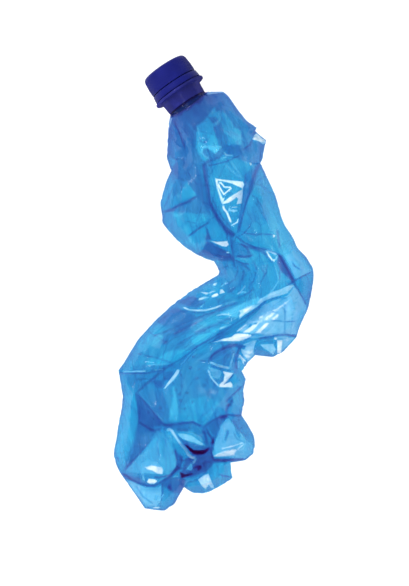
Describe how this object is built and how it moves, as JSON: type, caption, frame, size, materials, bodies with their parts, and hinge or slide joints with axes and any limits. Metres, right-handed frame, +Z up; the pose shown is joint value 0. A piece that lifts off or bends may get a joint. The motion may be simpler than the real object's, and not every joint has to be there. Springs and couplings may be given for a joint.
{
  "type": "crushed plastic bottle",
  "caption": "Crushed clear blue drinks bottle lying on its side: a thin crumpled hollow shell with a five-footed base and a screw cap that unscrews.",
  "frame": {"origin": "on the floor, under the centre of the bounding box of the bottle as it lies", "axes": "+X across the bottle, +Y from the base towards the cap, +Z up from the floor it lies on"},
  "size_m": [0.1194, 0.2736, 0.044],
  "materials": {
    "clear_blue_plastic": "clear, tinted blue, glossy, creased",
    "cap_blue_plastic": "moulded, satin",
    "band_blue_plastic": "moulded, satin",
    "liner_plastic": "soft, matt"
  },
  "bodies": {
    "bottle": {"bottle": "clear_blue_plastic", "tamper_band": "band_blue_plastic"},
    "seal": {"cap_liner": "liner_plastic"},
    "cap": {"cap": "cap_blue_plastic"}
  },
  "joints": [
    {"name": "cap_lift", "type": "slide", "parent": "bottle", "child": "seal", "axis": [-0.5547, 0.8255, -0.1045], "range_m": [0, 0.00405]},
    {"name": "cap_turn", "type": "hinge", "parent": "seal", "child": "cap", "pos_m": [-0.02035, 0.1148, 0.0175], "axis": [-0.5547, 0.8255, -0.1045], "range_deg": [0, 540]}
  ],
  "couplings": [
    {"joint": "cap_lift", "follows": "cap_turn", "m_per_rad": 0.00042971}
  ]
}
